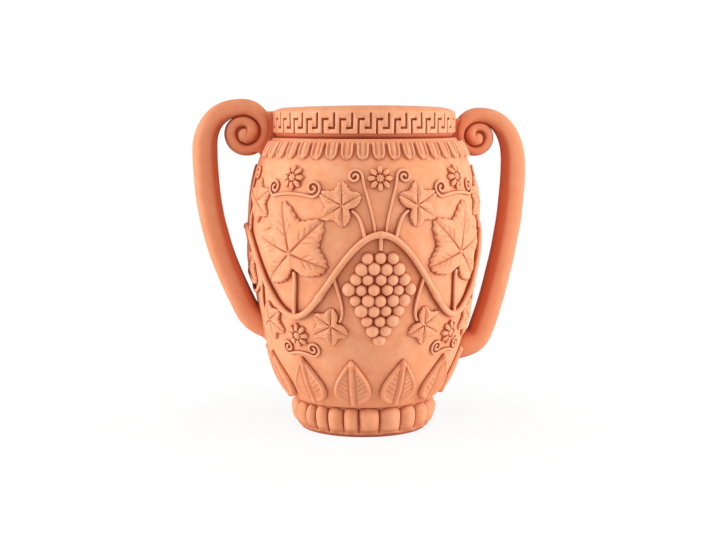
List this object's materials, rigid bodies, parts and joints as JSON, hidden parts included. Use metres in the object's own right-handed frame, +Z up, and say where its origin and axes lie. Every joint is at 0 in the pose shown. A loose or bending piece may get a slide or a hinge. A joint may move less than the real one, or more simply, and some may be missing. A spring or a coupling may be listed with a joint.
{
  "type": "amphora planter",
  "caption": "Hand-built terracotta amphora planter: round-bellied jar with a key-fret collar, scrolled coil handles, lobed foot ring and a vine relief; holds soil and a plant.",
  "frame": {"origin": "on the ground under the jar's middle, at the bottom centre of the object's box", "axes": "+Z up, -Y the front with a grape cluster in its middle, +X towards the handle that joins the wall lower down"},
  "size_m": [0.3766, 0.2708, 0.3699],
  "materials": {
    "jar_clay": "matt unglazed terracotta, smooth",
    "collar_clay": "matt unglazed terracotta, incised",
    "foot_clay": "matt unglazed terracotta, dark in the grooves",
    "handle_clay": "matt unglazed terracotta, hand rolled",
    "relief_clay": "matt unglazed terracotta, moulded"
  },
  "bodies": {
    "root": {"calyx_leaf_01": "relief_clay", "calyx_leaf_02": "relief_clay", "calyx_leaf_03": "relief_clay", "calyx_leaf_04": "relief_clay", "calyx_leaf_05": "relief_clay", "calyx_leaf_06": "relief_clay", "calyx_leaf_07": "relief_clay", "calyx_leaf_08": "relief_clay", "calyx_leaf_09": "relief_clay", "calyx_leaf_10": "relief_clay", "calyx_leaf_11": "relief_clay", "calyx_leaf_12": "relief_clay", "foot_ring": "foot_clay", "grape_cluster_back": "relief_clay", "grape_cluster_front": "relief_clay", "handle_left": "handle_clay", "handle_right": "handle_clay", "jar_body": "jar_clay", "key_collar": "collar_clay", "large_leaf_back_left": "relief_clay", "large_leaf_back_right": "relief_clay", "large_leaf_front_left": "relief_clay", "large_leaf_front_right": "relief_clay", "lower_leaf_back_a": "relief_clay", "lower_leaf_back_b": "relief_clay", "lower_leaf_front_a": "relief_clay", "lower_leaf_front_b": "relief_clay", "lower_leaf_left_a": "relief_clay", "lower_leaf_left_b": "relief_clay", "lower_leaf_right_a": "relief_clay", "lower_leaf_right_b": "relief_clay", "lower_rosette_back_left": "relief_clay", "lower_rosette_back_right": "relief_clay", "lower_rosette_front_left": "relief_clay", "lower_rosette_front_right": "relief_clay", "side_leaf_left": "relief_clay", "side_leaf_right": "relief_clay", "tongue_band_back": "relief_clay", "tongue_band_front": "relief_clay", "upper_leaf_back_a": "relief_clay", "upper_leaf_back_b": "relief_clay", "upper_leaf_front_a": "relief_clay", "upper_leaf_front_b": "relief_clay", "upper_leaf_left_a": "relief_clay", "upper_leaf_left_b": "relief_clay", "upper_leaf_right_a": "relief_clay", "upper_leaf_right_b": "relief_clay", "upper_rosette_back": "relief_clay", "upper_rosette_back_left": "relief_clay", "upper_rosette_back_right": "relief_clay", "upper_rosette_front": "relief_clay", "upper_rosette_front_left": "relief_clay", "upper_rosette_front_right": "relief_clay", "vine_stem": "relief_clay"}
  },
  "joints": []
}
